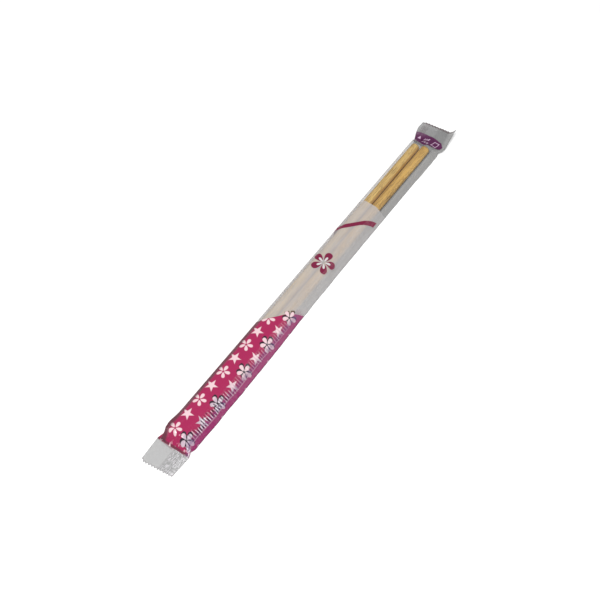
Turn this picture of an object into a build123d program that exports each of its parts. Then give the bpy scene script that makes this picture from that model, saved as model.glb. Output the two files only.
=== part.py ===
from build123d import *
import os
from math import acos, atan2, cos, degrees, hypot, pi, radians, sin

# A pair of round bamboo chopsticks, sealed side by side in one clear film sachet.
# +X runs along the sticks to their thin ends, +Y to the side where they lie, +Z is up.
# The origin is under the middle of the sachet, on the surface that it lies on. Millimetres.

os.makedirs("parts", exist_ok=True)

# ---- driving dimensions: the sticks ----
stick_length = 200.0
stick_diameter = 5.0  # at the thick end
tip_diameter = 4.8  # at the thin end
rim_radius = 1.1  # rounding of the rims at both ends
stick_gap = 0.1  # between the two sticks
stagger = 1.6  # the inner stick lies this far further along than the outer one

# ---- driving dimensions: the film sachet ----
film = 0.08  # thickness of one layer
slack = 0.1  # between the film and the sticks
end_slack = 0.5  # between the ends of the sticks and the sloping film
flap_reach = 7.6  # empty film beyond the middle of the inner stick
fold_gap = 0.06  # air between the two layers where the film folds back
side_step = 0.9  # the flat ends stand out this far beyond the film beside the outer stick
thick_end_slope = 4.9  # sloping film past the thick ends
thin_end_slope = 8.5  # sloping film past the thin ends
thick_end_band = 11.8  # flat welded band past the thick ends
thin_end_band = 6.7  # flat welded band past the thin ends
thin_end_lift = 3.8  # the thin end's band springs up from the surface
tooth_count = 11  # zigzag of both cut edges
tooth_depth = 0.8

# ---- driving dimensions: the seam along the back ----
fin_width = 6.5
fin_gap = 0.1  # air between the folded fin and the film above it
fin_start = 0.8  # the fin starts this far beside the middle of the inner stick
fin_weld = 0.4  # width of the joint between the fin and the film
step_run = 0.8  # the film rises over the fin within this width

# ---- what follows from them ----
stick_radius = stick_diameter / 2
hug_radius = stick_radius + slack + film  # outside of the film around a stick
outer_across = stick_diameter + stick_gap  # from the inner stick to the outer one
fin_height = 2 * film
over_fin = fin_height + fin_gap  # underside of the film above the fin
fold_height = 2 * film + fold_gap
fold_across = fold_height / 2 - flap_reach  # middle of the fold, from the inner stick


def leaving_point(inset):
    """Where the film, drawn in by inset, leaves the inner stick for the flap.

    Returns its distance across from the stick, its height, and its angle on the stick.
    """
    radius = hug_radius - inset
    down = over_fin + fold_height - inset - hug_radius
    angle = 2 * pi + atan2(down, fold_across) - acos(radius / hypot(fold_across, down))
    return radius * cos(angle), hug_radius + radius * sin(angle), degrees(angle)


# The film's girth around the sticks is the same all along, so it sets the width of the flat ends.
leaving_across, leaving_height, leaving_angle = leaving_point(0)
girth = (
    pi * hug_radius
    + outer_across
    + radians(leaving_angle - 90) * hug_radius
    + hypot(leaving_across + flap_reach, leaving_height - over_fin)
    + flap_reach
    + outer_across
)
flat_width = girth / 2

# Across, the flat ends are centred on the origin.
outer_y = flat_width / 2 - side_step - hug_radius
inner_y = outer_y - outer_across
fin_y = inner_y - fin_start

# Along, the whole sachet is centred on the origin.
filled_length = stick_length + stagger + 2 * end_slack
sachet_length = thick_end_band + thick_end_slope + filled_length + thin_end_slope + thin_end_band
thick_cut_x = -sachet_length / 2
thick_seal_x = thick_cut_x + thick_end_band
filled_from_x = thick_seal_x + thick_end_slope
filled_to_x = filled_from_x + filled_length
thin_seal_x = filled_to_x + thin_end_slope
thin_cut_x = sachet_length / 2
outer_stick_x = filled_from_x + end_slack
inner_stick_x = outer_stick_x + stagger


def stick_profile(start_x, y):
    """Half of a stick's outline along its axis, for one turn about that axis."""
    end_x = start_x + stick_length
    thin_radius = tip_diameter / 2
    with BuildSketch(Plane.XY.offset(hug_radius)) as half:
        with BuildLine():
            Polyline(
                (start_x, y),
                (start_x, y + stick_radius),
                (end_x, y + thin_radius),
                (end_x, y),
                close=True,
            )
        make_face()
        rims = half.vertices().group_by(Axis.Y)[-2:]
        fillet([rims[0][0], rims[1][0]], rim_radius)
    return half.sketch


def filled_profile(x, inset):
    """Outline across the film around both sticks and the flap, drawn in by inset."""
    radius = hug_radius - inset
    top = hug_radius + radius
    across, height, angle = leaving_point(inset)
    fold_y = inner_y + fold_across
    fold_edge_y = inner_y - flap_reach + inset
    fold_top = over_fin + fold_height - inset
    with BuildSketch(Plane.YZ.offset(x)) as profile:
        with BuildLine():
            CenterArc((outer_y, hug_radius), radius, -90, 180)
            Line((outer_y, top), (inner_y, top))
            CenterArc((inner_y, hug_radius), radius, 90, angle - 90)
            Line((inner_y + across, height), (fold_y, fold_top))
            ThreePointArc(
                (fold_y, fold_top),
                (fold_edge_y, over_fin + fold_height / 2),
                (fold_y, over_fin + inset),
            )
            Polyline(
                (fold_y, over_fin + inset),
                (fin_y - step_run, over_fin + inset),
                (fin_y, inset),
                (outer_y, inset),
            )
        make_face()
    return profile.sketch


def flat_profile(x, inset, lift):
    """Outline across the two layers of a flat end, drawn in by inset and lifted."""
    fold_y = flat_width / 2 - fold_height / 2
    fold_edge_y = flat_width / 2 - inset
    with BuildSketch(Plane((x, 0, lift), x_dir=(0, 1, 0), z_dir=(1, 0, 0))) as profile:
        with BuildLine():
            ThreePointArc(
                (fold_y, inset), (fold_edge_y, fold_height / 2), (fold_y, fold_height - inset)
            )
            Polyline(
                (fold_y, fold_height - inset),
                (fin_y, fold_height - inset),
                (fin_y - step_run, over_fin + fold_height - inset),
                (-fold_y, over_fin + fold_height - inset),
            )
            ThreePointArc(
                (-fold_y, over_fin + fold_height - inset),
                (-fold_edge_y, over_fin + fold_height / 2),
                (-fold_y, over_fin + inset),
            )
            Polyline(
                (-fold_y, over_fin + inset),
                (fin_y - step_run, over_fin + inset),
                (fin_y, inset),
                (fold_y, inset),
            )
        make_face()
    return profile.sketch


def tube_profiles(inset):
    """Outlines of the whole tube from seal to seal, drawn in by inset."""
    return [
        flat_profile(thick_seal_x, inset, 0),
        filled_profile(filled_from_x, inset),
        filled_profile(filled_to_x, inset),
        flat_profile(thin_seal_x, inset, thin_end_lift),
    ]


def fin_profile(x, lift):
    """Outline across the folded fin, with the strip that joins it to the film."""
    root = Plane((x, fin_y + fin_weld, lift), x_dir=(0, 1, 0), z_dir=(1, 0, 0))
    with BuildSketch(root) as profile:
        Rectangle(fin_width + fin_weld, fin_height, align=(Align.MAX, Align.MIN))
    return profile.sketch


def cut_outline():
    """The sachet seen from above, with a zigzag along both cut edges."""
    pitch = flat_width / tooth_count
    right = [(thin_cut_x, flat_width / 2)]
    left = [(thick_cut_x, flat_width / 2)]
    for tooth in range(tooth_count):
        valley_y = flat_width / 2 - (tooth + 0.5) * pitch
        peak_y = flat_width / 2 - (tooth + 1) * pitch
        right += [(thin_cut_x - tooth_depth, valley_y), (thin_cut_x, peak_y)]
        left += [(thick_cut_x + tooth_depth, valley_y), (thick_cut_x, peak_y)]
    with BuildSketch() as outline:
        with BuildLine():
            Polyline(*right, *reversed(left), close=True)
        make_face()
    return outline.sketch


# ---- chopstick_outer and chopstick_inner ----
with BuildPart() as chopstick_outer:
    add(stick_profile(outer_stick_x, outer_y))
    revolve(axis=Axis((0, outer_y, hug_radius), (1, 0, 0)))

with BuildPart() as chopstick_inner:
    add(stick_profile(inner_stick_x, inner_y))
    revolve(axis=Axis((0, inner_y, hug_radius), (1, 0, 0)))

# ---- film_sachet: one thin wall around the sticks, welded flat at both ends ----
with BuildPart() as film_sachet:
    add(tube_profiles(0))
    loft(ruled=True)
    extrude(flat_profile(thick_cut_x, 0, 0), amount=thick_end_band, dir=(1, 0, 0))
    extrude(flat_profile(thin_seal_x, 0, thin_end_lift), amount=thin_end_band, dir=(1, 0, 0))
    add(tube_profiles(film))
    loft(ruled=True, mode=Mode.SUBTRACT)

    # The fin is the back seam's two layers, folded flat under the flap.
    extrude(fin_profile(thick_cut_x, 0), amount=filled_to_x - thick_cut_x, dir=(1, 0, 0))
    add([fin_profile(filled_to_x, 0), fin_profile(thin_seal_x, thin_end_lift)])
    loft(ruled=True)
    extrude(fin_profile(thin_seal_x, thin_end_lift), amount=thin_end_band, dir=(1, 0, 0))

    extrude(cut_outline(), amount=2 * hug_radius, mode=Mode.INTERSECT)

chopstick_outer.part.label = "chopstick_outer"
chopstick_inner.part.label = "chopstick_inner"
film_sachet.part.label = "film_sachet"
export_step(chopstick_outer.part, "parts/chopstick_outer.step")
export_step(chopstick_inner.part, "parts/chopstick_inner.step")
export_step(film_sachet.part, "parts/film_sachet.step")

print(f"girth {girth:.2f}, flat width {flat_width:.2f}, sachet length {sachet_length:.1f}")
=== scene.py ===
from math import acos, atan2, cos, exp, hypot, pi, radians, sin, tau

import bmesh
import bpy
from bpy.props import FloatProperty, FloatVectorProperty, IntProperty, PointerProperty
from mathutils import Matrix, Vector, noise


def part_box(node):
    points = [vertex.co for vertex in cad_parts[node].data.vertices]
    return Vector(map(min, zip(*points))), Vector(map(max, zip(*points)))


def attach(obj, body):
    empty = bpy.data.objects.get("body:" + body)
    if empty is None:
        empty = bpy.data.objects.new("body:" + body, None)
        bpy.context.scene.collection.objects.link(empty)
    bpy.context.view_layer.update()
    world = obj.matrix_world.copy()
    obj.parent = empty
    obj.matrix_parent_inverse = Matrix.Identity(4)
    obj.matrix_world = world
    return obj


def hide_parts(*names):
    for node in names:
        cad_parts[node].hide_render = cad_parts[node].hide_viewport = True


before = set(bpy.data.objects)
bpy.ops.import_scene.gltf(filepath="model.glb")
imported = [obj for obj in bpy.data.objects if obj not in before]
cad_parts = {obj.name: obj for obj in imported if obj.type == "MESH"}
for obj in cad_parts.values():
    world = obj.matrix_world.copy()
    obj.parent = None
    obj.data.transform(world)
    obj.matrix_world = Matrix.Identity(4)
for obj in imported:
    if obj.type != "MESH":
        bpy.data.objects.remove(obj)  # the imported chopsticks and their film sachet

bl_info = {
    "name": "Bamboo chopsticks in a film sachet",
    "version": (1, 0, 0),
    "blender": (4, 5, 0),
    "location": "View3D > Sidebar > Chopsticks",
    "description": "Two round bamboo sticks in a clear printed film sachet, on a plain stage",
    "category": "Object",
}

# Lengths are in metres. +X runs along the sticks to their thin ends, +Y to the side
# where they lie in the sachet, and the sachet lies on its back at z = 0.
MM = 0.001

FILM_LOW, FILM_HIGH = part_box("film_sachet")
OUTER_LOW, OUTER_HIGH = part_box("chopstick_outer")
INNER_LOW, INNER_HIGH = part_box("chopstick_inner")
OUTER_Y = (OUTER_HIGH.y + OUTER_LOW.y) / 2
INNER_Y = (INNER_HIGH.y + INNER_LOW.y) / 2
AXIS_Z = FILM_HIGH.z / 2  # the film hugs the sticks, so their axes are at half its height
FLAT_HALF = FILM_HIGH.y  # half the width of the flat ends
SPAN = FILM_HIGH.x - FILM_LOW.x
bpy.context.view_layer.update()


# ---- sizes and colours that a user may change ----
def number(name, text, default, **more):
    """A property that holds a number."""
    return FloatProperty(name=name, description=text, default=default, **more)


def length(name, text, millimetres):
    """A length property whose default is given in millimetres."""
    return number(name, text, millimetres * MM, unit="LENGTH")


def colour(name, text, red, green, blue):
    """A colour property, in linear light."""
    return FloatVectorProperty(
        name=name, description=text, default=(red, green, blue), subtype="COLOR", min=0, max=1
    )


class StickSettings(bpy.types.PropertyGroup):
    """Sizes and colours of the bamboo sticks"""

    rim: length("Rim", "Rounding of the rims at both ends", 1.1)
    tip_thinning: length("Thinning", "How much thinner a stick is at its thin end", 0.2)
    groove: length("Grooves", "Depth of the fine grooves along the fibres", 0.025)
    segments: IntProperty(name="Segments", description="Faces round a stick", default=56, min=12)
    rings: IntProperty(name="Rings", description="Cuts along a stick", default=180, min=10)
    outer_light: colour("Outer light", "Pale fibres of the outer stick", 0.64, 0.440, 0.145)
    outer_dark: colour("Outer dark", "Dark fibres of the outer stick", 0.36, 0.205, 0.050)
    inner_light: colour("Inner light", "Pale fibres of the inner stick", 0.61, 0.375, 0.095)
    inner_dark: colour("Inner dark", "Dark fibres of the inner stick", 0.25, 0.125, 0.020)
    # Painted warm shade for the cleft between the sticks.
    cleft_shade: colour("Warm sides", "Brown of the sides that lie together", 0.40, 0.20, 0.035)


class SachetSettings(bpy.types.PropertyGroup):
    """Sizes of the film sachet"""

    film: length("Film", "Room that one layer of film takes up", 0.08)
    thick_band: length("Thick-end band", "Flat welded band past the thick ends", 11.8)
    thick_slope: length("Thick-end slope", "Film between that band and the sticks", 4.9)
    thin_band: length("Thin-end band", "Flat welded band past the thin ends", 6.7)
    thin_slope: length("Thin-end slope", "Film between that band and the sticks", 8.5)
    thick_aside: length("Thick end aside", "How far it lies towards the outer stick", 1.1)
    thin_aside: length("Thin end aside", "How far it lies towards the outer stick", 1.4)
    thin_lift: length("Thin-end lift", "Height of the free end beside the empty flap", 2.6)
    thin_twist: length("Thin-end twist", "How much higher its other corner stands", 3.2)
    loose_side: length("Loose side", "Film that stands out beside the outer stick", 0.9)
    flap_reach: length("Flap reach", "Empty film beyond the middle of the inner stick", 6.5)
    flap_swell: length("Flap swell", "How much further it reaches near the thick ends", 1.5)
    bulge: length("Bulge", "How far the loose side puffs out near the sticks' ends", 0.7)
    waver: length("Waver", "How far the flap's fold wanders to each side", 0.25)
    fin_width: length("Fin width", "Width of the back seam's folded fin", 5.6)
    fin_start: length("Fin start", "From the middle of the inner stick to the fin's root", 0.8)
    fin_gap: length("Fin gap", "Air between the folded fin and the film above it", 0.1)
    fold_gap: length("Fold gap", "Air between the layers where the film folds back", 0.06)
    step_run: length("Step", "Width in which the film rises over the fin", 0.8)
    crimp_pitch: length("Crimp pitch", "From one pressed ridge of the fin to the next", 1.4)
    crimp_height: length("Crimp height", "Height of the pressed ridges to each side", 0.06)
    tooth_depth: length("Tooth depth", "Depth of the zigzag cut at the thick end", 0.8)
    thin_tooth_depth: length("Thin-end tooth depth", "The same at the thin end", 0.35)
    teeth: IntProperty(name="Teeth", description="Teeth of each zigzag cut", default=11, min=3)
    thick_gather: number("Thick-end gather", "Share of its width that it has lost", 0.07, subtype="FACTOR")
    thin_gather: number("Thin-end gather", "Share of its width that it has lost", 0.08, subtype="FACTOR")


class PrintSettings(bpy.types.PropertyGroup):
    """Colours of the film and its print"""

    clear: colour("Clear film", "Haze of the bare film", 0.43, 0.43, 0.425)
    # Lit and shaded copies of the clear film: painted lighter haze at the welded thick end, and painted
    # shade at the lifted, tilted thin end.
    lit_thick_end_haze: colour("Clear thick end", "Haze of the welded thick end", 0.48, 0.48, 0.48)
    shaded_haze: colour("Clear thin end", "Haze of the welded thin end", 0.22, 0.22, 0.22)
    # Painted shade on the empty flap, where no stick lies behind the film: grey over the clear and milky
    # film, and dark violet over the pink.
    empty: colour("Empty flap", "Haze where no stick lies behind the film", 0.345, 0.34, 0.335)
    pink_flap_shade: colour("Empty pink flap", "The same behind the pink print", 0.090, 0.020, 0.135)
    milk: colour("Milky print", "Translucent white print", 0.56, 0.545, 0.545)
    pink: colour("Pink print", "Ground of the patterned end", 0.335, 0.012, 0.078)
    # Painted highlights: the glints on the pressed ridges and on the thick end's short strokes.
    glint: colour("Pressed ridges", "Film whitened along the pressed ridges", 0.85, 0.82, 0.86)
    # Painted shade: the dark line along the film's side beside the outer stick and along the cut edges. It
    # also darkens a line along the seal.
    crease: colour("Crease", "Dark line where the film creases beside the outer stick", 0.06, 0.03, 0.035)
    # Also painted highlights: the lengthwise crease in the flap and the glints beside the seal.
    petal: colour("Stars and petals", "Light shapes on the pink ground", 0.72, 0.52, 0.55)
    dull_petal: colour("Dull petals", "The same where the thick-end seam lies below", 0.34, 0.30, 0.40)
    # Also the painted shade in the pressed ridges' hollows.
    shade: colour("Petal shade", "Dark strokes behind the petals", 0.02, 0.008, 0.02)
    line: colour("Line", "Slanting line and the emblem", 0.17, 0.006, 0.040)
    label: colour("Label", "Purple label across the sticks' ends", 0.075, 0.003, 0.055)
    mark: colour("Marks", "Light marks on the label", 0.55, 0.38, 0.52)


class StageSettings(bpy.types.PropertyGroup):
    """Floor, light and camera"""

    floor: colour("Floor", "Plain pale floor", 0.90, 0.90, 0.90)
    key_power: number("Key light", "Power in watts", 10.0)
    sheen_power: number("Sheen light", "Power in watts", 0.6)
    sky: number("Sky", "Strength of the even light", 0.45)
    elevation: number("Elevation", "Camera above the horizon", radians(60), unit="ROTATION")
    azimuth: number("Azimuth", "Camera round the object", radians(-53.87), unit="ROTATION")
    distance: length("Distance", "From the camera to the object's middle", 480.0)
    lens: number("Lens", "Focal length in millimetres", 59.02)
    aim_right: length("Aim right", "The camera's own shift to the right", -6.67)
    aim_up: length("Aim up", "The camera's own shift upwards", -7.32)


# ---- node helper ----
# The Mix node's pair of inputs, and its output, for each kind of value.
MIX_SOCKETS = {"FLOAT": (2, 3, 0), "RGBA": (6, 7, 2)}


class Recipe:
    """Builds one node material, a step at a time."""

    def __init__(self, name):
        self.material = bpy.data.materials.new(name)
        self.material.use_nodes = True
        self.tree = self.material.node_tree
        self.shader = self.tree.nodes["Principled BSDF"]

    def node(self, kind, **settings):
        made = self.tree.nodes.new(kind)
        for name, value in settings.items():
            setattr(made, name, value)
        return made

    def feed(self, socket, value):
        """Links an output to the socket, or sets the socket's own number or colour."""
        if isinstance(value, bpy.types.NodeSocket):
            self.tree.links.new(value, socket)
        elif socket.type == "RGBA":
            socket.default_value = (*value, 1)
        else:
            socket.default_value = value

    def plug(self, node, **values):
        """Links or sets a node's inputs by name, such as Base_Color, and gives its outputs."""
        for name, value in values.items():
            self.feed(node.inputs[name.replace("_", " ")], value)
        return node.outputs

    def coordinates(self, kind):
        """The separate parts of a texture coordinate."""
        place = self.node("ShaderNodeTexCoord").outputs[kind]
        return self.plug(self.node("ShaderNodeSeparateXYZ"), Vector=place)

    def math(self, operation, *values):
        made = self.node("ShaderNodeMath", operation=operation)
        for socket, value in zip(made.inputs, values):
            self.feed(socket, value)
        return made.outputs[0]

    def chain(self, operation, first, *others):
        for other in others:
            first = self.math(operation, first, other)
        return first

    def add(self, *values):
        return self.chain("ADD", *values)

    def times(self, *values):
        return self.chain("MULTIPLY", *values)

    def highest(self, *values):
        return self.chain("MAXIMUM", *values)

    def subtract(self, a, b):
        return self.math("SUBTRACT", a, b)

    def outside(self, mask):
        """1 where the mask is 0."""
        return self.subtract(1.0, mask)

    def share(self, value, low, high):
        """0 where value is at low, 1 where it is at high, and even between."""
        made = self.node("ShaderNodeMapRange")
        return self.plug(made, Value=value, From_Min=low, From_Max=high)["Result"]

    def within(self, value, low, high, soft):
        """1 between low and high, with edges that are soft wide."""
        above = self.share(value, low - soft / 2, low + soft / 2)
        below = self.share(value, high + soft / 2, high - soft / 2)
        return self.times(above, below)

    def mix(self, kind, factor, first, second):
        first_socket, second_socket, result = MIX_SOCKETS[kind]
        made = self.node("ShaderNodeMix", data_type=kind)
        self.feed(made.inputs[0], factor)
        self.feed(made.inputs[first_socket], first)
        self.feed(made.inputs[second_socket], second)
        return made.outputs[result]

    def blend(self, factor, first, second):
        """Mix of two numbers."""
        return self.mix("FLOAT", factor, first, second)

    def layered(self, ground, *layers):
        """The ground's colour with each layer's colour laid over it where its mask is 1."""
        for mask, ink in layers:
            ground = self.mix("RGBA", mask, ground, ink)
        return ground

    def noise(self, place, stretch, detail=1, roughness=0.5, shift=(0, 0, 0)):
        """Soft noise; stretch is how many grains there are to a unit of the place."""
        mapping, made = self.node("ShaderNodeMapping"), self.node("ShaderNodeTexNoise")
        place = self.plug(mapping, Vector=place, Scale=stretch, Location=shift)["Vector"]
        return self.plug(made, Vector=place, Scale=1.0, Detail=detail, Roughness=roughness)["Fac"]

    def bump(self, height, distance, strength=1.0):
        made = self.node("ShaderNodeBump")
        outputs = self.plug(made, Strength=strength, Distance=distance, Height=height)
        self.plug(self.shader, Normal=outputs["Normal"])


# ---- the bamboo sticks ----
RIM_STEPS = 5  # faces that round a rim
# How fast the two kinds of groove change along and across a stick, in turns to a metre.
GROOVE_GRAINS = (Matrix.Diagonal((30, 1500, 1500)), Matrix.Diagonal((12, 350, 350)))


def bamboo(name, light, dark, cleft_shade, offset):
    """Bare bamboo: fine fibres along X, with darker strands and slow changes of tone, and painted warm
    shade on the sides that lie together.
    """
    recipe = Recipe(name)
    place = recipe.node("ShaderNodeTexCoord").outputs["Object"]
    fibres = recipe.noise(place, (55, 5200, 5200), 3, 0.6, (offset, 0, 0))
    strands = recipe.noise(place, (150, 1900, 1900), 2, 0.5, (0, offset, 0))
    patches = recipe.noise(place, (70, 260, 260), 2, 0.5, (0, 0, offset))
    flecks = recipe.noise(place, (420, 4200, 4200), 1, 0.5, (offset, offset, 0))
    tone = recipe.share(fibres, 0.30, 0.66)
    deep = tuple(0.45 * part for part in dark)
    pale = tuple(min(1.0, 1.12 * part) for part in light)
    # Painted warm shade: the sides that lie against each other are darker and browner, standing in for the
    # shade in the cleft between the sticks.
    middle = (OUTER_Y + INNER_Y) / 2
    from_middle = recipe.math("ABSOLUTE", recipe.subtract(recipe.coordinates("Object")[1], middle))
    cleft_shade_mask = recipe.share(from_middle, 1.1 * MM, 0.5 * MM)
    body = recipe.layered(
        dark,
        (tone, light),
        (recipe.times(recipe.share(strands, 0.55, 0.66), 0.68), deep),
        (recipe.times(recipe.share(flecks, 0.58, 0.66), 0.70), deep),
        (recipe.times(recipe.share(patches, 0.45, 0.70), 0.40), pale),
        (recipe.times(cleft_shade_mask, 0.65), cleft_shade),
    )
    dull = recipe.blend(tone, 0.62, 0.46)
    recipe.plug(recipe.shader, Base_Color=body, Roughness=dull, Specular_IOR_Level=0.35)
    recipe.bump(recipe.add(fibres, strands), 0.05 * MM, 0.8)
    return recipe.material


def stick_mesh(low, high, sizes):
    """A round stick with rounded rims, spun about its own axis, with grooves along it."""
    radius = (high.y - low.y) / 2
    thin_radius = radius - sizes.tip_thinning / 2
    centre_y, rim = (high.y + low.y) / 2, sizes.rim
    arc = [pi / 2 * step / RIM_STEPS for step in range(RIM_STEPS + 1)]
    thick_rim = [(low.x + rim - rim * cos(a), radius - rim + rim * sin(a)) for a in arc]
    thin_rim = [(high.x - rim + rim * sin(a), thin_radius - rim + rim * cos(a)) for a in arc]
    half = [(low.x, 0), *thick_rim, *thin_rim, (high.x, 0)]
    mesh = bmesh.new()
    points = [mesh.verts.new((x, centre_y + r, AXIS_Z)) for x, r in half]
    edges = [mesh.edges.new(pair) for pair in zip(points, points[1:])]
    side = edges[len(thick_rim)]
    bmesh.ops.subdivide_edges(mesh, edges=[side], cuts=sizes.rings)
    bmesh.ops.spin(
        mesh, geom=mesh.verts[:] + mesh.edges[:], cent=(0, centre_y, AXIS_Z), axis=(1, 0, 0),
        angle=tau, steps=sizes.segments, use_merge=True,
    )
    bmesh.ops.remove_doubles(mesh, verts=mesh.verts, dist=0.001 * MM)
    for vert in mesh.verts:
        across = Vector((0, vert.co.y - centre_y, vert.co.z - AXIS_Z))
        if across.length < radius / 2:
            continue  # the end faces stay flat
        dip = sum(max(0.0, noise.noise(grain @ vert.co)) for grain in GROOVE_GRAINS) * sizes.groove
        vert.co -= across.normalized() * dip
    bmesh.ops.recalc_face_normals(mesh, faces=mesh.faces)
    return mesh


def finished(mesh, name, material, replaced):
    """Turns a bmesh into a smooth piece of the object that stands for a CAD node."""
    data = bpy.data.meshes.new(name)
    mesh.to_mesh(data)
    mesh.free()
    data.shade_smooth()
    data.materials.append(material)
    piece = bpy.data.objects.new(name, data)
    bpy.context.scene.collection.objects.link(piece)
    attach(piece, "root")
    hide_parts(replaced)
    return piece


class CHOPSTICKS_OT_sticks(bpy.types.Operator):
    """Make the two round bamboo sticks"""

    bl_idname = "chopsticks.sticks"
    bl_label = "Make the sticks"

    def execute(self, context):
        sizes = context.scene.stick_settings
        outer = bamboo("bamboo_outer", sizes.outer_light, sizes.outer_dark, sizes.cleft_shade, 0.0)
        inner = bamboo("bamboo_inner", sizes.inner_light, sizes.inner_dark, sizes.cleft_shade, 7.3)
        mesh = stick_mesh(OUTER_LOW, OUTER_HIGH, sizes)
        finished(mesh, "outer_stick", outer, "chopstick_outer")
        mesh = stick_mesh(INNER_LOW, INNER_HIGH, sizes)
        finished(mesh, "inner_stick", inner, "chopstick_inner")
        return {"FINISHED"}


# ---- the film sachet ----
FRONT_MIDDLE = 3.35 * MM  # from the top of the outer stick to the middle of the printed front
NOSE_HEIGHT = 1.3  # how high the loose side stands out furthest, as a share of AXIS_Z
CORNER = 0.72  # share of the half width beyond which the corners of the cuts turn
TAIL = 0.70  # the same for the spike at the thin end
# How much sooner than the middle the film's two sides flatten past the thin ends.
OUTER_EARLY, FLAP_EARLY = 2.6, 1.2
# Strength of the painted shade along the cut edges, in the rows from each cut inwards.
THICK_RIM, THIN_RIM = (1.0, 0.5), (1.0, 1.0, 0.9, 0.4)
FIN_ROW, FIN_COLUMNS = 0.2 * MM, 10  # the fin's grid: from row to row, and faces across


def ramp(value, low, high):
    """0 at low, 1 at high, and even between."""
    return min(1.0, max(0.0, (value - low) / (high - low)))


def soft_step(value, middle, run):
    """Rises softly from 0 to 1 about the middle."""
    return 1 / (1 + exp((middle - value) / run))


def ripple(x, turns, seed):
    """Soft noise along X, the same each time."""
    return noise.noise(Vector((x * turns, seed, 0)))


class Outline:
    """A line across the sachet, of straight and round stretches, read by its length."""

    def __init__(self, start):
        self.end = Vector(start)
        self.length = 0.0
        self.stretches = []

    def line(self, to):
        start, to = self.end, Vector(to)
        run = (to - start).length
        self.stretches.append((self.length, run, lambda t: start.lerp(to, t)))
        self.length += run
        self.end = to

    def arc(self, centre, radius, first, last):
        def point(t):
            angle = first + (last - first) * t
            return Vector((centre[0] + radius * cos(angle), centre[1] + radius * sin(angle)))

        run = radius * abs(last - first)
        self.stretches.append((self.length, run, point))
        self.length += run
        self.end = point(1)

    def at(self, distance):
        """The point at this distance along the line."""
        for start, run, point in reversed(self.stretches):
            if distance >= start:
                return point(min(1.0, (distance - start) / run))


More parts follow.
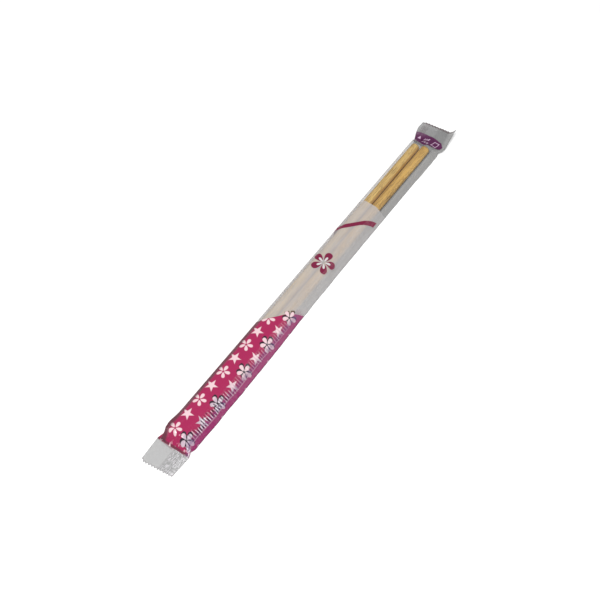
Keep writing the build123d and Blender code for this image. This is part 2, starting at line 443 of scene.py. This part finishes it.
class Sachet:
    """The sachet's layout, worked out from its sizes and the frame."""

    def __init__(self, sizes):
        self.sizes = sizes
        self.wall = sizes.film / 2
        self.over_fin = 2 * sizes.film + sizes.fin_gap
        self.fold = 2 * sizes.film + sizes.fold_gap
        self.root_y = INNER_Y - sizes.fin_start
        self.thick_cut = FILM_LOW.x
        self.thick_seal = FILM_LOW.x + sizes.thick_band
        self.filled_from = self.thick_seal + sizes.thick_slope
        self.thin_cut = FILM_HIGH.x
        self.thin_seal = FILM_HIGH.x - sizes.thin_band
        self.filled_to = self.thin_seal - sizes.thin_slope
        # Zones along X: where each starts and ends, and the gap between its rows.
        self.zones = {
            "thick": (self.thick_cut, self.thick_seal, 0.45 * MM),
            "thick_slope": (self.thick_seal, self.filled_from, 0.3 * MM),
            "filled": (self.filled_from, self.filled_to, 0.65 * MM),
            "thin_slope": (self.filled_to, self.thin_seal, 0.3 * MM),
            "thin": (self.thin_seal, self.thin_cut, 0.4 * MM),
        }
        self.filled = self.filled_outline()
        self.flat = self.flat_outline()
        self.sheet_width = self.filled.length + 2 * sizes.fin_width
        self.quarter_tooth = FLAT_HALF / (2 * sizes.teeth)
        self.fold_at = FLAT_HALF - self.root_y  # where the +Y fold is along the flat outline

    def filled_outline(self):
        """The film round both sticks and out to the flap, from the fin's root and back."""
        radius = AXIS_Z - self.wall
        fold_y = INNER_Y - self.sizes.flap_reach + self.fold / 2
        fold_top = self.over_fin + self.fold - self.wall
        across, down = fold_y - INNER_Y, fold_top - AXIS_Z
        leaves = tau + atan2(down, across) - acos(radius / hypot(across, down))
        line = Outline((self.root_y, self.wall))
        line.line((OUTER_Y, self.wall))
        nose = Vector((OUTER_Y + radius + self.sizes.loose_side, NOSE_HEIGHT * AXIS_Z))
        reach = nose - Vector((OUTER_Y, AXIS_Z))
        turn, spread = atan2(reach.y, reach.x), acos(radius / reach.length)
        line.arc((OUTER_Y, AXIS_Z), radius, -pi / 2, turn - spread)
        line.line(nose)
        line.line((OUTER_Y + radius * cos(turn + spread), AXIS_Z + radius * sin(turn + spread)))
        line.arc((OUTER_Y, AXIS_Z), radius, turn + spread, pi / 2)
        self.front_middle = line.length + FRONT_MIDDLE
        line.line((INNER_Y, AXIS_Z + radius))
        line.arc((INNER_Y, AXIS_Z), radius, pi / 2, leaves)
        line.line((fold_y, fold_top))
        return self.back_to_root(line, fold_y)

    def flat_outline(self):
        """The film pressed flat, from the fin's root and back."""
        fold_y, top = FLAT_HALF - self.fold / 2, self.fold - self.wall
        line = Outline((self.root_y, self.wall))
        line.line((fold_y, self.wall))
        line.arc((fold_y, self.fold / 2), self.fold / 2 - self.wall, -pi / 2, pi / 2)
        line.line((self.root_y, top))
        line.line((self.root_y - self.sizes.step_run, self.over_fin + top))
        line.line((-fold_y, self.over_fin + top))
        return self.back_to_root(line, -fold_y)

    def back_to_root(self, line, fold_y):
        """Turns an outline round the flap's fold, and back under the film to the fin's root."""
        fold_radius = self.fold / 2 - self.wall
        line.arc((fold_y, self.over_fin + self.fold / 2), fold_radius, pi / 2, 3 * pi / 2)
        line.line((self.root_y - self.sizes.step_run, self.over_fin + self.wall))
        line.line((self.root_y, self.over_fin / 2))
        return line

    def fullness(self, x):
        """1 where the film hugs the sticks, 0 where it is flat."""
        from_thick = ramp(x, self.thick_seal, self.filled_from)
        return min(from_thick, ramp(x, self.thin_seal, self.filled_to))

    def gather(self, x):
        """How much of its width is left where the flat ends have drawn in."""
        thick = max(0.0, (self.thick_seal - x) / self.sizes.thick_band)
        thin = max(0.0, (x - self.thin_seal) / self.sizes.thin_band)
        return 1 - self.sizes.thick_gather * thick - self.sizes.thin_gather * thin

    def aside(self, x):
        """How far the flat ends lie towards the outer stick."""
        return (1 - self.fullness(x)) * (self.sizes.thick_aside if x < 0 else self.sizes.thin_aside)

    def lift(self, x, y):
        """Height that the free thin end has sprung up to."""
        share = ramp(x, self.filled_to, self.thin_cut)
        rise = share * share * (3 - 2 * share)
        side = (y + FLAT_HALF) / (2 * FLAT_HALF)
        return rise * (self.sizes.thin_lift + self.sizes.thin_twist * side)

    def sway(self, x, y):
        """How far the empty flap is pulled out beside the sticks."""
        outward = ramp(INNER_Y - y, 2.4 * MM, 7.4 * MM)
        near_ends = soft_step(-x, 25 * MM, 12 * MM) + 0.3 * soft_step(x, 88 * MM, 4 * MM)
        wander = ripple(x, 110, 5.2) + 0.5 * ripple(x, 330, 1.7)
        return outward * (self.sizes.flap_swell * near_ends + self.sizes.waver * wander)

    def bulge(self, x, y):
        """How far the loose film beside the outer stick puffs out near the sticks' ends."""
        outward = ramp(y - OUTER_Y, 1.6 * MM, 3.1 * MM)
        places, run = (self.filled_from + 3 * MM, self.thin_seal - 1 * MM), 4 * MM
        near = sum(exp(-((x - place) / run) ** 2) for place in places)
        return self.sizes.bulge * outward * near

    def crease(self, x, y, z):
        """Small push up or down of the loose film."""
        run = 9 * MM
        near_thick, near_thin = (exp(-abs(x - end) / run) for end in (self.filled_from, self.filled_to))
        slow = noise.noise(Vector((x * 90, y * 260, 3.1)))
        pleat = noise.noise(Vector((x * 150, y * 900, z * 300 + 8.7)))
        loose = 1.0 if self.fullness(x) < 1 else ramp(INNER_Y - y, 1.5 * MM, 3.5 * MM)
        return (0.10 * slow * loose + 0.22 * pleat * min(1.0, near_thick + near_thin)) * MM

    def cut_x(self, y, at_thin_end):
        """Where the cut edge lies, a little askew at both ends."""
        corner = max(0.0, y - CORNER * FLAT_HALF)
        if not at_thin_end:
            setback, slant, turned = 0.5 * MM, 0.12, 210 * corner**2
            return self.thick_cut - setback - slant * y + turned
        tail = max(0.0, -TAIL * FLAT_HALF - y)
        setback, slant, spike, turned = 0.9 * MM, 0.22, 500 * tail**2, 110 * corner**2
        return self.thin_cut - setback - slant * y + spike - turned

    def rows(self):
        """Rows along the sachet: each is a zone and how far along that zone it lies."""
        rows = []
        for zone, (start, end, spacing) in self.zones.items():
            count = max(2, round((end - start) / spacing))
            rows += [(zone, step / count) for step in range(count)]
        return rows + [("thin", 1.0)]

    def row_x(self, zone, along, flat_y, tooth):
        """Where a row lies along X, for a place across the flat film."""
        start, end, _ = self.zones[zone]
        if zone == "thick":
            start = self.cut_x(flat_y, False) + tooth
        elif zone == "thin":
            end = self.cut_x(flat_y, True) - tooth
        return start + (end - start) * along

    def printed_at(self, x, across):
        """Place in the print, as shares of the unrolled sheet's length and width."""
        return (x - FILM_LOW.x) / SPAN, across / self.sheet_width

    def column_marks(self):
        """Distances along the flat outline, four to a tooth, from the fin's root and back."""
        before = int(self.fold_at / self.quarter_tooth)
        after = int((self.flat.length - self.fold_at) / self.quarter_tooth)
        marks = [(k, self.fold_at + k * self.quarter_tooth) for k in range(-before, after + 1)]
        return [(-before, 0.0), *marks, (after, self.flat.length)]

    def tooth(self, quarter, zone):
        """Depth of the zigzag at this quarter of a tooth."""
        depth = self.sizes.thin_tooth_depth if zone == "thin" else self.sizes.tooth_depth
        return depth * (1 - abs(quarter % 4 - 2) / 2)


def film_tube(sachet, mesh, rim_layer):
    """The tube of film, from a flat grid that is wrapped round the sticks."""
    rows, columns = sachet.rows(), sachet.column_marks()
    last_row, last_column = len(rows) - 1, len(columns) - 1
    made = bmesh.ops.create_grid(mesh, x_segments=last_row, y_segments=last_column, size=0.5)
    rims = dict(enumerate(THICK_RIM)) | {last_row - k: share for k, share in enumerate(THIN_RIM)}
    printed = {}
    for vert in made["verts"]:
        row, column = round((vert.co.x + 0.5) * last_row), round((vert.co.y + 0.5) * last_column)
        (zone, along), (quarter, mark) = rows[row], columns[column]
        across = mark / sachet.flat.length * sachet.filled.length
        full_point, flat_point = sachet.filled.at(across), sachet.flat.at(mark)
        x = sachet.row_x(zone, along, flat_point.x, sachet.tooth(quarter, zone))
        full = sachet.fullness(x)
        # Past the thin ends both sides flatten sooner than the middle.
        side = flat_point.x / FLAT_HALF if zone == "thin_slope" else 0.0
        early = max(OUTER_EARLY * side, -FLAP_EARLY * side)
        y, z = flat_point.lerp(full_point, full ** (1 + early))
        y = y * sachet.gather(x) + sachet.aside(x) - sachet.sway(x, y) * full
        y += sachet.bulge(x, y)
        z += sachet.lift(x, y)
        lowest = 0.3 * sachet.wall
        vert.co = (x, y, max(lowest, z + sachet.crease(x, y, z)))
        vert[rim_layer] = rims.get(row, 0.0)
        printed[vert] = sachet.printed_at(x, sachet.sizes.fin_width + across)
    return printed


def film_fin(sachet, mesh, upper):
    """One layer of the back seam's folded fin, pressed into ridges across its width."""
    sizes = sachet.sizes
    rows = round(SPAN / FIN_ROW)
    made = bmesh.ops.create_grid(mesh, x_segments=rows, y_segments=FIN_COLUMNS, size=0.5)
    height = sachet.wall + (sizes.film if upper else 0)
    printed = {}
    for vert in made["verts"]:
        along, share = vert.co.x + 0.5, vert.co.y + 0.5
        out = share * sizes.fin_width
        y = sachet.root_y - out
        start, end = sachet.cut_x(y, False) + sizes.tooth_depth, sachet.cut_x(y, True) - sizes.tooth_depth
        x = start + (end - start) * along
        press = ramp(share, 0, 1 / 8) * sizes.crimp_height
        ridge = press * sin(tau * x / sizes.crimp_pitch)
        y = y * sachet.gather(x) + sachet.aside(x)
        vert.co = (x, y, height + press + ridge + sachet.lift(x, y))
        across = sachet.sheet_width - sizes.fin_width + out if upper else sizes.fin_width - out
        printed[vert] = sachet.printed_at(x, across)
    return printed


# ---- the printed film ----
# Places in the print are in millimetres: x runs along the sachet, as in the frame, and p runs
# across the printed front from its middle, towards the flap.
SEAL_X, SEAL_SLANT = -105.6, 0.05  # the print's edge at the thick end
PINK_X, PINK_SWING, PINK_RUN = -26.6, 12.0, 9.5  # where the pink ground ends, along a soft S
PAST_PINK = 2.25  # how far the odd rows of the pattern reach past it
MILK_X = 53.3  # where the milky print ends
LINE_X, LINE_SLANT, LINE_BEND, LINE_TWIST = 38.6, 1.12, -0.0030, -0.00010
LINE_HALF, LINE_SHARE = 1.12, 0.68  # half the line's width, and that as a share of its run in x
EMBLEM_X, EMBLEM_P = 10.6, 0.2
ROW_GAP, FIRST_ROW = 7.8, -2.8  # rows of stars and petals, across the front
LABEL_X, LABEL_SLANT = 105.8, 0.2  # the label's middle line
FLAP_P, FLAP_EDGE_P = 5.9, 7.85  # where the empty flap starts, and the strip along its fold
BESIDE_P = (-8.1, -5.3)  # the film's side beside the outer stick
CREASE_P = (8.2, 8.6)  # the lengthwise crease near the flap's fold
SEAM_P, SHARP_X = (4.3, 7.4), (-96.0, -72.0)  # where ridges press through, and where they are sharp
THIN_END_X, SLOPE_X = (100.5, 109.0), (100.2, 101.5)  # where the thin end takes its painted shade and turns hazy
LABEL_CORNERS = [
    (108.4, -9.9), (103.0, -9.9), (101.2, -5.1), (101.0, 0.3), (105.7, 6.3), (107.9, 6.4),
    (109.6, 4.7), (110.0, -0.2), (109.6, -5.9),
]
WEDGE_CORNERS = [(105.9, -7.6), (105.9, -5.9), (107.6, -6.75)]


def reach_of(recipe, a, b):
    """Distance from the middle."""
    return recipe.math("SQRT", recipe.add(recipe.times(a, a), recipe.times(b, b)))


def folded(recipe, across, along):
    """Coordinates in one fifth of a turn, for a shape with five equal points."""
    radius = reach_of(recipe, along, across)
    angle = recipe.math("PINGPONG", recipe.math("ARCTAN2", across, along), pi / 5)
    out, side = recipe.math("COSINE", angle), recipe.math("SINE", angle)
    return recipe.times(radius, out), recipe.times(radius, side)


def star(recipe, along, across, tip, notch, soft):
    """1 inside a five-pointed star, 0 outside it, in millimetres."""
    out, side = folded(recipe, across, along)
    run, rise = notch * sin(pi / 5), tip - notch * cos(pi / 5)
    size = hypot(run, rise)
    past_tip = recipe.times(recipe.subtract(out, tip), run / size)
    distance = recipe.add(past_tip, recipe.times(side, rise / size))
    return recipe.share(distance, soft / 2, -soft / 2)


def petals(recipe, along, across, reach, width, soft):
    """1 inside five drop-shaped petals, 0 outside them, in millimetres."""
    out, side = folded(recipe, across, along)
    middle, half = 0.57 * reach, 0.43 * reach
    lengthwise = recipe.math("DIVIDE", recipe.subtract(out, middle), half)
    room = recipe.add(recipe.times(out, 0.7 * width / reach), 0.38 * width)
    sideways = recipe.math("DIVIDE", side, room)
    return recipe.share(reach_of(recipe, lengthwise, sideways), 1 + soft, 1 - soft)


def row_of_shapes(recipe, x, start, pitch):
    """Coordinates in a row's cells, and 1 in the cells that hold a star."""
    place = recipe.add(recipe.math("DIVIDE", recipe.subtract(x, start), pitch), 0.5)
    index = recipe.math("FLOOR", place)
    along = recipe.times(recipe.subtract(recipe.subtract(place, index), 0.5), pitch)
    starred = recipe.math("MODULO", recipe.math("ABSOLUTE", index), 2)
    return along, starred


def inside(recipe, x, p, corners, soft):
    """1 inside a shape of straight sides with no dents, whose corners run clockwise."""
    nearest = None
    for (x0, p0), (x1, p1) in zip(corners, corners[1:] + corners[:1]):
        run, rise = x1 - x0, p1 - p0
        size = hypot(run, rise)
        offset = recipe.add(
            recipe.times(recipe.subtract(x, x0), rise / size),
            recipe.times(recipe.subtract(p, p0), -run / size),
        )
        nearest = offset if nearest is None else recipe.math("MINIMUM", nearest, offset)
    return recipe.share(nearest, -soft / 2, soft / 2)


def pattern(recipe, x, p):
    """Masks of the stars and petals, of the strokes behind them, and of the odd rows."""
    rows = recipe.math("ROUND", recipe.math("DIVIDE", recipe.subtract(p, FIRST_ROW), ROW_GAP))
    across = recipe.subtract(p, recipe.add(recipe.times(rows, ROW_GAP), FIRST_ROW))
    odd = recipe.math("MODULO", recipe.math("ABSOLUTE", rows), 2)
    along_even, starred_even = row_of_shapes(recipe, x, start=-98.9, pitch=8.6)
    # The odd rows are printed wider apart near the thick ends.
    wide = recipe.highest(recipe.subtract(-68.0, x), 0.0)
    drawn_in = recipe.add(x, recipe.times(wide, 0.20))
    along_odd, starred_odd = row_of_shapes(recipe, drawn_in, start=-93.8, pitch=8.8)
    along_odd = recipe.times(along_odd, recipe.blend(recipe.share(wide, 0, 0.1), 1.0, 1.25))
    along = recipe.blend(odd, along_even, along_odd)
    starred = recipe.blend(odd, starred_even, starred_odd)
    flowered = recipe.outside(starred)
    stars = recipe.times(star(recipe, along, across, tip=3.15, notch=1.25, soft=0.25), starred)
    even_petals = petals(recipe, along, across, reach=3.3, width=0.95, soft=0.12)
    odd_petals = petals(recipe, along, across, reach=3.6, width=1.12, soft=0.10)
    flowers = recipe.times(recipe.blend(odd, even_petals, odd_petals), flowered)
    # The strokes are a larger flower, set a little aside, and a dark heart.
    aside_along, aside_across = recipe.add(along, -0.55), recipe.add(across, 0.40)
    behind = petals(recipe, aside_along, aside_across, reach=3.9, width=1.45, soft=0.12)
    heart = recipe.share(reach_of(recipe, along, across), 2.6, 2.0)
    strokes = recipe.times(recipe.highest(behind, heart), flowered, odd)
    return recipe.highest(stars, flowers), strokes, odd


def label_shapes(recipe, x, p):
    """Masks of the label and of its plain marks: two rows of dashes, a wedge and a box."""
    label = inside(recipe, x, p, LABEL_CORNERS, 0.15)
    from_middle = recipe.subtract(x, recipe.add(recipe.times(p, LABEL_SLANT), LABEL_X))

    def area(along, across, soft):
        return recipe.times(recipe.within(from_middle, *along, soft), recipe.within(p, *across, soft))

    rows = recipe.highest(area((0.3, 2.1), (-3.6, -0.3), 0.2), area((-2.7, -1.5), (-2.9, 1.3), 0.2))
    half_pitch, positive_p = 0.62, recipe.add(p, 20.0)
    dashes = recipe.share(recipe.math("PINGPONG", positive_p, half_pitch), 0.22, 0.32)
    dashes = recipe.times(rows, dashes)
    wedge = inside(recipe, x, p, WEDGE_CORNERS, 0.2)
    box_sides = recipe.within(recipe.math("ABSOLUTE", from_middle), 1.5, 1.9, 0.12)
    box_ends = recipe.within(recipe.math("ABSOLUTE", recipe.subtract(p, 3.1)), 0.9, 1.2, 0.12)
    box = recipe.times(recipe.highest(box_sides, box_ends), area((-1.9, 1.9), (1.9, 4.3), 0.1))
    return label, recipe.times(recipe.highest(dashes, wedge, box), label)


def slanting_line(recipe, x, p):
    """Mask of the bent line that slants across the milky print."""
    bend = recipe.times(recipe.add(recipe.times(p, LINE_TWIST), LINE_BEND), p, p, p)
    line_x = recipe.add(recipe.times(p, LINE_SLANT), bend, LINE_X)
    off_line = recipe.math("ABSOLUTE", recipe.times(recipe.subtract(x, line_x), LINE_SHARE))
    line = recipe.share(off_line, LINE_HALF + 0.10, LINE_HALF - 0.10)
    return recipe.times(line, recipe.within(p, -11.0, 8.4, 0.4))


class PrintedFilm(Recipe):
    """Clear film with a milky print, a pink patterned end, a slanting line and a label."""

    def __init__(self, sachet, inks):
        super().__init__("printed_film")
        self.inks, self.crimp_pitch = inks, sachet.sizes.crimp_pitch / MM
        root = -sachet.front_middle / MM
        fold_end = root + sachet.filled.length / MM
        along, across, _ = self.coordinates("UV")
        self.x = self.add(self.times(along, SPAN / MM), FILM_LOW.x / MM)
        start = root - sachet.sizes.fin_width / MM
        self.p = self.add(self.times(across, sachet.sheet_width / MM), start)
        self.place = self.plug(self.node("ShaderNodeCombineXYZ"), X=self.x, Y=self.p)["Vector"]
        self.cloudy = self.noise(self.place, (0.06, 0.5, 1), 3, 0.6)
        self.find_stretches(root, fold_end)
        self.find_print()
        self.find_wrinkles()
        self.find_ridges()
        gloss = self.blend(self.thin_end, self.blend(self.cloudy, 0.12, 0.30), 0.55)
        inked, cover = self.colour(), self.cover()
        self.plug(self.shader, Base_Color=inked, Alpha=cover, Roughness=gloss, IOR=1.5)
        self.bump(self.relief(), MM)

    def find_stretches(self, root, fold_end):
        """Masks of the ends, the flap, the side beside the outer stick, and the fin and back."""
        x, p = self.x, self.p
        self.past_seal = self.subtract(x, self.add(self.times(p, SEAL_SLANT), SEAL_X))
        self.thick_end = self.share(x, SEAL_X + 0.2, SEAL_X - 0.1)
        self.thin_end = self.share(x, *THIN_END_X)
        past_thick_end = self.outside(self.thick_end)
        self.flap = self.times(self.within(p, FLAP_P, fold_end, 1.4), past_thick_end)
        self.beside = self.times(self.within(p, *BESIDE_P, 1.2), past_thick_end)
        beyond = self.share(p, fold_end, fold_end + 0.2), self.share(p, root, root - 0.2)
        self.back = self.highest(*beyond)
        # The rim takes painted shade along the cut edges.
        rim = self.node("ShaderNodeAttribute", attribute_name="rim").outputs["Fac"]
        self.rim = self.times(rim, self.blend(self.thin_end, 0.35, 0.85))

    def find_print(self):
        """Masks of the grounds, the pattern, the line, the label and the emblem."""
        x, p = self.x, self.p
        swing = self.times(self.math("TANH", self.math("DIVIDE", p, PINK_RUN)), PINK_SWING)
        past_pink = self.subtract(x, self.add(swing, PINK_X))
        printed = self.share(self.past_seal, -0.1, 0.1)
        self.pink = self.times(self.share(past_pink, 0.12, -0.12), printed)
        before_clear = self.share(x, MILK_X + 0.2, MILK_X - 0.2)
        self.milk = self.times(self.share(past_pink, -0.12, 0.12), before_clear)
        shapes, strokes, odd = pattern(self, x, p)
        on_pink = self.share(past_pink, 0.3, 0.0)
        past_edge = self.share(past_pink, PAST_PINK + 0.25, PAST_PINK - 0.25)
        self.shapes = self.times(shapes, self.blend(odd, on_pink, past_edge), printed)
        self.strokes = self.times(strokes, past_edge, printed)
        self.line = slanting_line(self, x, p)
        self.label, self.marks = label_shapes(self, x, p)
        middle = self.subtract(x, EMBLEM_X), self.subtract(p, EMBLEM_P)
        self.emblem = petals(self, *middle, reach=6.4, width=2.3, soft=0.06)
        self.emblem_core = petals(self, *middle, reach=3.6, width=0.7, soft=0.10)

    def find_wrinkles(self):
        """Masks of the lengthwise crease in the flap, which takes a painted highlight, and of the painted
        glints beside the seal.
        """
        x, p = self.x, self.p
        wander = self.times(self.noise(self.place, (0.05, 0, 0), 2), 1.6)
        crease = self.within(self.add(p, wander), *CREASE_P, 0.35)
        self.crease = self.times(crease, self.share(x, -20.0, -45.0))
        seal_glints = self.share(self.noise(self.place, (0.5, 0.7, 1)), 0.55, 0.63)
        near_seal = self.within(self.past_seal, 1.0, 2.6, 0.5)
        self.seal_glints = self.times(seal_glints, near_seal, self.share(p, -4.0, -1.0))

    def find_ridges(self):
        """Masks of the seam's pressed ridges, clear near the thick ends and faint past them, for their
        bump and for their painted glints and painted shade.
        """
        x = self.x
        drift = self.noise(self.place, (0.28, 0.10, 1))
        turns = self.add(self.times(x, tau / self.crimp_pitch), self.times(drift, 6.0))
        self.wave = self.math("SINE", turns)
        sharp = self.within(x, *SHARP_X, 8.0)
        uneven = self.noise(self.place, (0.75, 0.55, 1), 2)
        patchy = self.highest(self.share(uneven, 0.40, 0.56), self.outside(sharp))
        ragged = self.add(self.p, self.times(self.subtract(drift, 0.5), 5.0))
        faint = self.times(self.share(x, -20.0, -30.0), 0.20)
        over_seam = self.within(ragged, *SEAM_P, 0.8)
        self.pressed = self.times(over_seam, patchy, self.blend(sharp, faint, 1.0))
        # The welded thick end has short strokes in their place: painted glints, and painted shade between
        # them.
        short = self.noise(self.place, (0.62, 2.1, 1), shift=(0, 3.0, 0))
        end_area = self.times(self.thick_end, self.share(ragged, 0.3, 0.9))
        self.end_glints = self.times(end_area, self.share(short, 0.53, 0.60))
        self.end_shaded = self.times(end_area, self.share(short, 0.49, 0.42))

    def colour(self):
        """Ink over ink, from the bare film up, with painted shade and painted highlights among the inks.
        """
        inks, pink = self.inks, self.pink
        dulled = self.times(self.within(self.p, 2.2, 8.2, 1.5), self.share(self.x, -64.0, -76.0))
        petal = self.layered(inks.petal, (self.times(dulled, 0.55), inks.dull_petal))
        # Painted shade on the empty flap: how much grey goes over the clear and milky film, and how much
        # dark violet over the pink.
        flap_shade_share = self.subtract(self.blend(pink, 0.55, 0.0), self.times(self.milk, 0.12))
        fold_strip = self.share(self.p, FLAP_EDGE_P - 0.25, FLAP_EDGE_P + 0.25)
        pink_flap_shade_share = self.times(self.flap, self.blend(fold_strip, 0.54, 0.40), pink)
        # Painted shade along the film's side beside the outer stick.
        side_shade = self.times(self.beside, self.blend(pink, 0.42, 0.78))
        # Painted shade in the ridges' hollows and painted glints on their tops.
        ridge_shade = self.times(self.share(self.wave, 0.0, -0.5), self.pressed)
        ridge_glint = self.times(self.share(self.wave, 0.35, 0.85), self.pressed)
        return self.layered(
            inks.clear,
            # Painted shade at the thin end and painted light at the thick end.
            (self.thin_end, inks.shaded_haze),
            (self.thick_end, inks.lit_thick_end_haze),
            # Painted shade along the cut edges.
            (self.rim, inks.crease),
            (self.milk, inks.milk),
            (pink, inks.pink),
            (self.times(self.within(self.past_seal, 0.0, 1.0, 0.3), 0.65), inks.crease),
            (self.strokes, inks.shade),
            (self.shapes, petal),
            # Painted shade on the empty flap.
            (self.times(self.flap, flap_shade_share), inks.empty),
            (pink_flap_shade_share, inks.pink_flap_shade),
            # Painted shade along the side beside the outer stick.
            (side_shade, inks.crease),
            # Painted highlights: the lengthwise crease and the glints beside the seal.
            (self.times(self.crease, 0.30), inks.petal),
            (self.times(self.seal_glints, 0.5), inks.petal),
            # Painted shade and painted glints of the ridges and of the thick end's strokes.
            (self.times(self.end_shaded, 0.45), inks.shaded_haze),
            (self.times(ridge_shade, 0.9), inks.shade),
            (self.times(self.highest(ridge_glint, self.end_glints), 0.75), inks.glint),
            (self.emblem, inks.line),
            (self.emblem_core, inks.milk),
            (self.line, inks.line),
            (self.label, inks.label),
            (self.marks, inks.mark),
        )

    def cover(self):
        """How much of what lies behind the film and its inks hide."""
        cover = self.times(self.cloudy, 0.14)
        for mask in (self.flap, self.thick_end):
            cover = self.blend(mask, cover, 0.50)
        cover = self.blend(self.thin_end, cover, 0.62)
        cover = self.blend(self.back, cover, 0.35)
        slope = self.share(self.x, *SLOPE_X)
        # The painted shade beside the outer stick and along the cut edges hides more of what lies behind.
        side_shade_cover, rim = self.times(self.beside, 0.5), self.times(self.rim, 0.95)
        cover = self.highest(cover, side_shade_cover, self.times(slope, 0.42), rim)
        cover = self.blend(self.milk, cover, self.add(self.times(self.cloudy, 0.3), 0.40))
        cover = self.blend(self.pink, cover, 0.94)
        solid = self.highest(self.line, self.label, self.emblem, self.shapes)
        return self.blend(solid, cover, 0.95)

    def relief(self):
        """Pressed ridges, the lengthwise crease, and wrinkles that gather at the ends."""
        x = self.x
        near_ends = self.highest(self.share(x, -92.0, -104.0), self.share(x, 92.0, 106.0))
        wrinkles = self.noise(self.place, (0.16, 0.9, 1), 2, 0.45)
        folds = self.noise(self.place, (0.5, 0.35, 1), 2, shift=(4.0, 0, 0))
        pressed = self.highest(self.pressed, self.times(self.end_glints, 0.5))
        return self.add(
            self.times(self.wave, pressed, 0.085),
            self.times(self.crease, 0.06),
            self.times(wrinkles, self.blend(near_ends, 0.07, 0.16)),
            self.times(folds, self.blend(near_ends, 0.10, 0.26)),
        )


class CHOPSTICKS_OT_sachet(bpy.types.Operator):
    """Make the printed film sachet"""

    bl_idname = "chopsticks.sachet"
    bl_label = "Make the sachet"

    def execute(self, context):
        sachet = Sachet(context.scene.sachet_settings)
        mesh = bmesh.new()
        layer = mesh.loops.layers.uv.new("print")
        rim_layer = mesh.verts.layers.float.new("rim")
        printed = film_tube(sachet, mesh, rim_layer)
        printed.update(film_fin(sachet, mesh, True))
        bmesh.ops.reverse_faces(mesh, faces=mesh.faces)  # so far they face inwards
        printed.update(film_fin(sachet, mesh, False))
        for face in mesh.faces:
            for loop in face.loops:
                loop[layer].uv = printed[loop.vert]
        material = PrintedFilm(sachet, context.scene.print_settings).material
        wrap = finished(mesh, "film_wrap", material, "film_sachet")
        return {"FINISHED"}


# ---- the stage ----
def area_light(name, place, size, power):
    """A soft square light that looks at the object."""
    data = bpy.data.lights.new(name, "AREA")
    data.size = size
    data.energy = power
    light = bpy.data.objects.new(name, data)
    light.location = place
    light.rotation_euler = Vector(place).to_track_quat("Z", "Y").to_euler()
    bpy.context.scene.collection.objects.link(light)


class CHOPSTICKS_OT_stage(bpy.types.Operator):
    """Make the floor, the lights and the camera"""

    bl_idname = "chopsticks.stage"
    bl_label = "Make the stage"

    def execute(self, context):
        settings = context.scene.stage_settings
        mesh = bmesh.new()
        bmesh.ops.create_grid(mesh, x_segments=1, y_segments=1, size=3.0)
        bmesh.ops.translate(mesh, verts=mesh.verts, vec=(0, 0, -0.02 * MM))
        data = bpy.data.meshes.new("floor")
        mesh.to_mesh(data)
        mesh.free()
        recipe = Recipe("plain_floor")
        recipe.plug(recipe.shader, Base_Color=settings.floor, Roughness=0.9, Specular_IOR_Level=0.1)
        data.materials.append(recipe.material)
        ground = bpy.data.objects.new("floor", data)
        context.scene.collection.objects.link(ground)

        area_light("key", (-0.34, -0.05, 0.94), 0.45, settings.key_power)
        area_light("sheen", (0.36, -0.68, 0.48), 0.35, settings.sheen_power)
        world = bpy.data.worlds.new("studio")
        world.use_nodes = True
        sky = world.node_tree.nodes["Background"]
        sky.inputs["Color"].default_value = (1, 1, 1, 1)
        sky.inputs["Strength"].default_value = settings.sky
        context.scene.world = world

        back = Vector((
            sin(settings.azimuth) * cos(settings.elevation),
            -cos(settings.azimuth) * cos(settings.elevation),
            sin(settings.elevation),
        ))
        right = Vector((cos(settings.azimuth), sin(settings.azimuth), 0))
        up = back.cross(right)
        camera = bpy.data.objects.new("camera", bpy.data.cameras.new("camera"))
        camera.data.lens = settings.lens
        camera.data.clip_start = 0.01
        turn = Matrix((right, up, back)).transposed().to_4x4()
        place = right * settings.aim_right + up * settings.aim_up + back * settings.distance
        camera.matrix_world = Matrix.Translation(place) @ turn
        context.scene.collection.objects.link(camera)
        context.scene.camera = camera
        context.scene.view_settings.view_transform = "Standard"
        return {"FINISHED"}


class CHOPSTICKS_PT_panel(bpy.types.Panel):
    """Settings and steps of the chopsticks"""

    bl_label = "Chopsticks"
    bl_space_type = "VIEW_3D"
    bl_region_type = "UI"
    bl_category = "Chopsticks"

    def draw(self, context):
        for step in STEPS:
            self.layout.operator(step.bl_idname)
        for group in SETTINGS:
            box = self.layout.box()
            settings = getattr(context.scene, group)
            for name in settings.__annotations__:
                box.prop(settings, name)


SETTINGS = {
    "stick_settings": StickSettings,
    "sachet_settings": SachetSettings,
    "print_settings": PrintSettings,
    "stage_settings": StageSettings,
}
STEPS = (CHOPSTICKS_OT_sticks, CHOPSTICKS_OT_sachet, CHOPSTICKS_OT_stage)


def register():
    for group in (*SETTINGS.values(), *STEPS, CHOPSTICKS_PT_panel):
        bpy.utils.register_class(group)
    for name, group in SETTINGS.items():
        setattr(bpy.types.Scene, name, PointerProperty(type=group))


def unregister():
    for name in SETTINGS:
        delattr(bpy.types.Scene, name)
    for group in (CHOPSTICKS_PT_panel, *reversed(STEPS), *SETTINGS.values()):
        bpy.utils.unregister_class(group)


def main():
    """Make every piece and the stage."""
    register()
    bpy.ops.chopsticks.sticks()
    bpy.ops.chopsticks.sachet()
    bpy.ops.chopsticks.stage()


if __name__ == "__main__":
    main()
